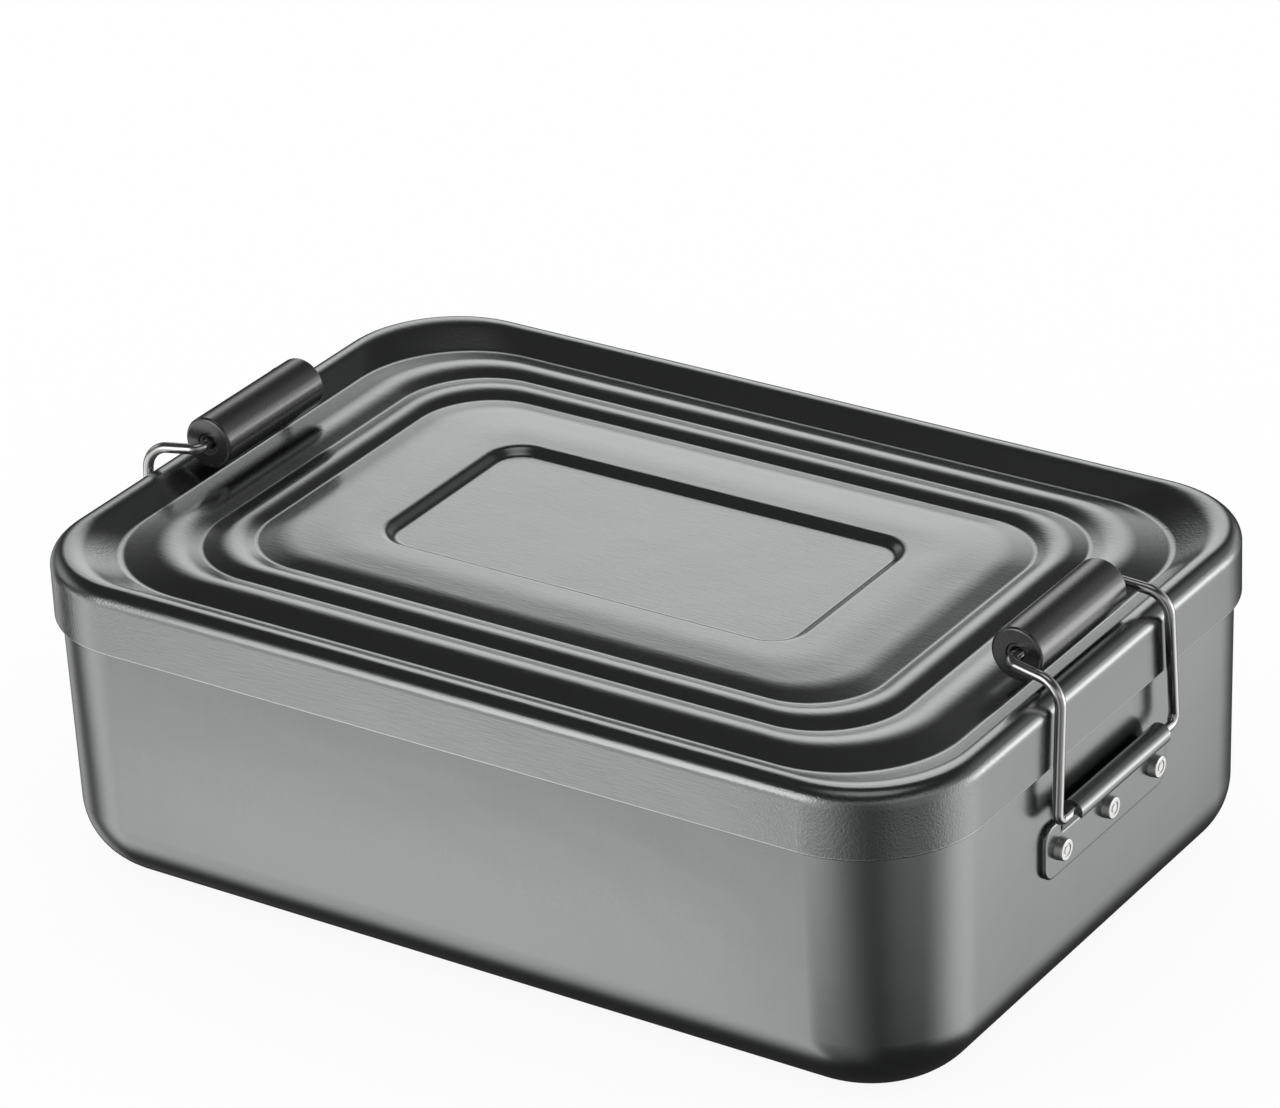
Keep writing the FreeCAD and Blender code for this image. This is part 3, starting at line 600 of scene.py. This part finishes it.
def grain(tree, place, size, amount):
    """Places the grain group in a material, with a grain's size in millimetres, and gives its outputs."""
    node = tree.nodes.new("ShaderNodeGroup")
    node.node_tree = GRAIN
    feed(tree, [node.inputs[name] for name in ("Place", "Size", "Amount")], [place, size, amount])
    return node.outputs


def new_finish(name, metallic):
    """A material, its node tree, its shader, and the place on the piece in millimetres."""
    material = bpy.data.materials.new(name)
    material.use_nodes = True
    tree = material.node_tree
    shader = tree.nodes["Principled BSDF"]
    shader.inputs["Metallic"].default_value = metallic
    coordinates = tree.nodes.new("ShaderNodeTexCoord").outputs["Object"]
    return material, tree, shader, vector_node(tree, "DIVIDE", coordinates, (MM, MM, MM))


def emboss(tree, shader, height):
    """Bends the light as a height in millimetres would, without moving the surface."""
    bump = tree.nodes.new("ShaderNodeBump")
    feed(tree, [bump.inputs["Distance"], bump.inputs["Height"]], [MM, height])
    tree.links.new(bump.outputs["Normal"], shader.inputs["Normal"])


def dress(material, *pieces):
    """Gives pieces their finish."""
    for piece in pieces:
        piece.data.materials.clear()
        piece.data.materials.append(material)
    print(f"{material.name}: {len(pieces)} pieces")


# %% [markdown]
# ### Anodised sheet
#
# The anthracite colour sits in a thin oxide skin on bright metal, so the sheet is a metal with a dark
# colour. The lid keeps lines along its length from the rolled sheet. At the skirt's corners the press
# squeezes the sheet together and the skin turns hammered. A mask of where that is comes from the place
# on the lid: the sum of both distances from the middle is largest at the corners. Along the skirt's cut
# edge a lighter colour is painted in, a painted highlight of its rounded edge. The drawn pan was stretched
# smooth, and keeps only faint upright lines. Its thin walls also bulge by a few tenths of a millimetre,
# which is too little to see as a shape, but a mirror shows it. So slow waves and a belly bend the light
# there, and the mesh stays at its measured size.

# %% The sheet's skin
ANTHRACITE = (0.277, 0.288, 0.284)
SPECK_SIZE = (0.3, 0.3, 0.3)
SPECK_AMOUNT = 0.16
WAVE_SIZE = (70, 70, 40)
WAVE_DEPTH = 0.35


def sheet_finish(name, line_size, amount, depth, roughness):
    """Anodised skin: specks and lines shade its colour, and lines and slow waves bend its light.

    The colour and the height are given back, so that a piece can add its own marks to them.
    """
    material, tree, shader, place = new_finish(name, 1.0)
    specks = grain(tree, place, SPECK_SIZE, SPECK_AMOUNT)
    lines = grain(tree, place, line_size, amount)
    shade = math_node(tree, "MULTIPLY", specks["Shade"], lines["Shade"])
    colour = vector_node(tree, "MULTIPLY", shade, ANTHRACITE)
    tree.links.new(colour, shader.inputs["Base Color"])
    tree.links.new(math_node(tree, "MULTIPLY", lines["Shade"], roughness), shader.inputs["Roughness"])
    waves = math_node(tree, "MULTIPLY", grain(tree, place, WAVE_SIZE, 0)["Height"], WAVE_DEPTH)
    height = math_node(tree, "MULTIPLY_ADD", lines["Height"], depth, waves)
    return material, tree, shader, place, colour, height


# %% Finish the lid
ROLLED_LINES = (4, 0.35, 0.35)
HAMMER_SIZE = (0.5, 0.5, 0.5)
HAMMER_DEPTH = 0.07
HAMMER_START = 135
HAMMER_FULL = 165
SKIRT_BLEND = 2
# The colour of the painted highlight along the skirt's cut edge, lighter than the anodised skin.
CUT_EDGE_HIGHLIGHT = (0.5, 0.51, 0.5)
CUT_HEIGHT = 0.42
CUT_BLEND = 0.3 * CUT_HEIGHT


def lid_finish():
    """The sheet's skin, hammered at the skirt's corners, with a painted highlight along its cut edge."""
    skin = sheet_finish("pressed_lid", ROLLED_LINES, amount=0.12, depth=0.02, roughness=0.2)
    material, tree, shader, place, colour, height = skin
    parts = tree.nodes.new("ShaderNodeSeparateXYZ")
    tree.links.new(place, parts.inputs["Vector"])
    distances = [math_node(tree, "ABSOLUTE", parts.outputs[axis]) for axis in "XY"]
    corner = ramp(tree, math_node(tree, "ADD", *distances), HAMMER_START, HAMMER_FULL)
    skirt = ramp(tree, parts.outputs["Z"], lid_top[2], lid_top[2] - SKIRT_BLEND)
    hammer = grain(tree, place, HAMMER_SIZE, 0)["Height"]
    deep = math_node(tree, "MULTIPLY", math_node(tree, "MULTIPLY", corner, skirt), HAMMER_DEPTH)
    emboss(tree, shader, math_node(tree, "MULTIPLY_ADD", hammer, deep, height))
    # Painted highlight: the colour turns lighter in a thin band along the skirt's rounded cut edge.
    cut = lid_low[2] + CUT_HEIGHT
    edge_highlight = ramp(tree, parts.outputs["Z"], cut + CUT_BLEND, cut - CUT_BLEND)
    tree.links.new(mix_node(tree, "RGBA", edge_highlight, colour, (*CUT_EDGE_HIGHLIGHT, 1)), shader.inputs["Base Color"])
    return material


dress(lid_finish(), lid)

# %% Finish the pan and the plates
DRAWN_LINES = (2.5, 2.5, 40)
BELLY_MIDDLE = 34
BELLY = 0.0011


def drawn_finish():
    """The sheet's skin, stretched smooth, with a belly of height -BELLY * (z - middle) squared."""
    skin = sheet_finish("drawn_pan", DRAWN_LINES, amount=0.03, depth=0.002, roughness=0.24)
    material, tree, shader, place, _, height = skin
    level = vector_node(tree, "DOT_PRODUCT", place, (0, 0, 1))
    belly = math_node(tree, "POWER", math_node(tree, "SUBTRACT", level, BELLY_MIDDLE), 2)
    emboss(tree, shader, math_node(tree, "MULTIPLY_ADD", belly, -BELLY, height))
    return material


dress(drawn_finish(), pan, *plates)

# %% [markdown]
# ### Wire, plastic and bare metal
#
# Bright wire is pulled through a die, which leaves lines along it. They follow the wire round its bends,
# so they read an attribute that the wire carries, and not a place in space. The roller is moulded
# plastic with the mould's matt grain. The rivets are bare aluminium, scuffed by the tool that set them.

# %% Finish the clips
WIRE_STEEL = (0.6, 0.6, 0.59)
BLACK = (0.012, 0.012, 0.012)
BARE_METAL = (0.8, 0.8, 0.79)
DIE_LINES = (0.14, 0.14, 12)
MOULD_GRAIN = (0.4, 0.4, 0.4)
SCUFFS = (0.5, 0.9, 0.12)


def clip_finish(name, colour, metallic, roughness, size, amount, depth, attribute=None, bend=1.5):
    """One grain over the piece, or along an attribute of it, shades the colour, gloss and surface."""
    material, tree, shader, place = new_finish(name, metallic)
    if attribute:
        reader = tree.nodes.new("ShaderNodeAttribute")
        reader.attribute_name = attribute
        place = reader.outputs["Vector"]
    shader.inputs["IOR"].default_value = bend
    lines = grain(tree, place, size, amount)
    tree.links.new(vector_node(tree, "MULTIPLY", lines["Shade"], colour), shader.inputs["Base Color"])
    tree.links.new(math_node(tree, "MULTIPLY", lines["Shade"], roughness), shader.inputs["Roughness"])
    emboss(tree, shader, math_node(tree, "MULTIPLY", lines["Height"], depth))
    return material


drawn_wire = clip_finish("drawn_wire", WIRE_STEEL, metallic=1.0, roughness=0.17,
                         size=DIE_LINES, amount=0.5, depth=0.004, attribute="lay")
moulded_plastic = clip_finish("moulded_plastic", BLACK, metallic=0.0, roughness=0.25,
                              size=MOULD_GRAIN, amount=0.5, depth=0.012, bend=2.1)
bare_metal = clip_finish("bare_metal", BARE_METAL, metallic=1.0, roughness=0.36,
                         size=SCUFFS, amount=0.3, depth=0.004)
dress(drawn_wire, *bails)
dress(moulded_plastic, *rollers)
dress(bare_metal, *rivets)

# %% [markdown]
# ## The studio
#
# The view has to be the photograph's, so the camera stands on a sphere round a point near the middle of
# the lid and looks back at it. Its distance and its lens together set how much the far end shrinks, and
# a small roll tilts the picture as the photograph is tilted. A Track To constraint could aim the camera,
# but it allows no roll, so here its three axes go straight into its matrix.

# %% Camera
IMAGE_WIDTH = 1280
FOCAL_PIXELS = 6006.8
AZIMUTH = math.radians(34.287)
ELEVATION = math.radians(27.085)
ROLL = math.radians(2.635)
DISTANCE = 1253.9
TARGET = np.array([-11.29, 15.28, 57.4])


def aim_camera():
    """A camera on a sphere round the target, turned a little about its own axis."""
    level = math.cos(ELEVATION)
    back = np.array([level * math.sin(AZIMUTH), -level * math.cos(AZIMUTH), math.sin(ELEVATION)])
    right = np.array([math.cos(AZIMUTH), math.sin(AZIMUTH), 0])
    up = np.cross(back, right)
    tilted_right = math.cos(ROLL) * right - math.sin(ROLL) * up
    tilted_up = math.cos(ROLL) * up + math.sin(ROLL) * right
    place = (TARGET + back * DISTANCE) * MM
    camera = bpy.data.objects.new("camera", bpy.data.cameras.new("camera"))
    camera.data.lens = FOCAL_PIXELS * camera.data.sensor_width / IMAGE_WIDTH
    columns = np.column_stack([tilted_right, tilted_up, back, place])
    camera.matrix_world = Matrix(np.vstack([columns, [0, 0, 0, 1]]).tolist())
    bpy.context.scene.collection.objects.link(camera)
    bpy.context.scene.camera = camera
    print(f"lens {camera.data.lens:.1f} mm")


aim_camera()

# %% [markdown]
# ### The light
#
# Satin metal is a blurred mirror: its light and dark bands are the lamps and the dark room of a photo
# studio. Area lamps could stand round the box, but each of them would also throw its own light on the
# matt pieces. Here the world is the studio. Each soft box is a patch of sky with a heading, a height and
# soft borders. Only glossy rays see it, so the metal mirrors the studio, while the diffuse light is an
# even white.

# %% Soft boxes
# Heading, half width, side blur, lower end, upper end and end blur in degrees, then strength
SOFTBOXES = {
    "key": (-110, 19, 19, -34, 25, 10, 0.65),
    "key glow": (-116, 9, 6, -6, 33, 4, 1.65),
    "paper on the left": (-151, 15, 15, -54, -5, 10, 1.25),
    "table glow": (-127, 5, 5, -60, -28, 4, 1.1),
    "rim light": (40, 26, 24, -45, 18, 4, 1.04),
    "rim glow": (49, 13, 5, -15, 3, 5, 1.9),
    "backdrop": (122, 11, 8, 9, 33, 7, 1.55),
    "front fill": (20, 65, 24, -36, 41, 12, 0.3),
    "left fill": (-105, 38, 18, -56, 28, 20, 0.26),
    "room in front": (-40, 45, 30, 16, 32, 8, 0.25),
    "room on the left": (178, 22, 18, 8, 30, 8, 0.6),
    "room on the right": (84, 10, 14, 0, 20, 8, 0.5),
    "room behind": (158, 12, 10, -45, 0, 8, 0.6),
    "ceiling": (0, 180, 20, 74, 100, 8, 0.6),
}


def soft_box(tree, level, elevation, heading, half_width, side_blur, low, high, end_blur):
    """1 inside a soft box's borders and 0 outside, with an S-shaped slope between.

    The angle aside is the arc cosine of the direction's level part along the heading.
    """
    towards = (math.cos(math.radians(heading)), math.sin(math.radians(heading)), 0)
    facing = vector_node(tree, "DOT_PRODUCT", level, towards)
    aside = math_node(tree, "DEGREES", math_node(tree, "ARCCOSINE", facing))
    across = ramp(tree, aside, half_width + side_blur, half_width - side_blur)
    above = ramp(tree, elevation, low - end_blur, low + end_blur)
    below = ramp(tree, elevation, high + end_blur, high - end_blur)
    return math_node(tree, "MULTIPLY", math_node(tree, "MULTIPLY", across, above), below)


# %% World
AMBIENT = 0.04


def build_world():
    """A plain white world in which glossy rays see a dim room with soft boxes instead.

    A direction's level part is (x, y, 0) made one long, and its elevation is the arc sine of z.
    """
    world = bpy.data.worlds.new("studio")
    bpy.context.scene.world = world
    world.use_nodes = True
    tree = world.node_tree
    direction = tree.nodes.new("ShaderNodeTexCoord").outputs["Generated"]
    level = vector_node(tree, "NORMALIZE", vector_node(tree, "MULTIPLY", direction, (1, 1, 0)))
    height = tree.nodes.new("ShaderNodeSeparateXYZ")
    tree.links.new(direction, height.inputs["Vector"])
    elevation = math_node(tree, "DEGREES", math_node(tree, "ARCSINE", height.outputs["Z"]))
    total = AMBIENT
    for *borders, strength in SOFTBOXES.values():
        lit = soft_box(tree, level, elevation, *borders)
        total = math_node(tree, "MULTIPLY_ADD", lit, strength, total)
    glossy = tree.nodes.new("ShaderNodeLightPath").outputs["Is Glossy Ray"]
    seen = mix_node(tree, "FLOAT", glossy, 1.0, total)
    tree.links.new(seen, tree.nodes["Background"].inputs["Strength"])
    tree.nodes["Background"].inputs["Color"].default_value = (1, 1, 1, 1)
    print(f"studio: {len(SOFTBOXES)} soft boxes")


build_world()

# %% [markdown]
# ### The floor
#
# A product on white paper shows no edge of the table, only a faint shadow. A brighter lamp could burn
# the paper out to white, but it would burn the box too. So the floor glows for the camera alone, and a
# small share of it stays matt and takes the shadow. Glossy rays pass it, because the lower soft boxes
# stand for what the metal sees of the table.

# %% Floor
FLOOR_HALF = 6.0
FLOOR_DROP = 0.05
FLOOR_GLOW = 0.92
PAPER = (0.95, 0.95, 0.95, 1)


def make_floor():
    """A wide square just under the base, of which FLOOR_GLOW glows for the camera and the rest is matt."""
    floor = bpy.data.objects.new("floor", bpy.data.meshes.new("floor"))
    corners = FLOOR_HALF * np.array([(-1, -1, 0), (1, -1, 0), (1, 1, 0), (-1, 1, 0)])
    floor.data.from_pydata((corners - (0, 0, FLOOR_DROP * MM)).tolist(), [], [(0, 1, 2, 3)])
    bpy.context.scene.collection.objects.link(floor)
    floor.visible_glossy = False
    material = bpy.data.materials.new("pale_floor")
    material.use_nodes = True
    tree = material.node_tree
    tree.nodes.remove(tree.nodes["Principled BSDF"])
    matt = tree.nodes.new("ShaderNodeBsdfDiffuse")
    matt.inputs["Color"].default_value = PAPER
    glow = tree.nodes.new("ShaderNodeEmission")
    camera_ray = tree.nodes.new("ShaderNodeLightPath").outputs["Is Camera Ray"]
    seen = math_node(tree, "MULTIPLY", camera_ray, FLOOR_GLOW)
    both = tree.nodes.new("ShaderNodeMixShader")
    feed(tree, both.inputs, [seen, matt.outputs["BSDF"], glow.outputs["Emission"]])
    tree.links.new(both.outputs["Shader"], tree.nodes["Material Output"].inputs["Surface"])
    floor.data.materials.append(material)
    print(f"floor: {2 * FLOOR_HALF:.0f} m wide")


make_floor()
bpy.context.scene.view_settings.view_transform = "Standard"
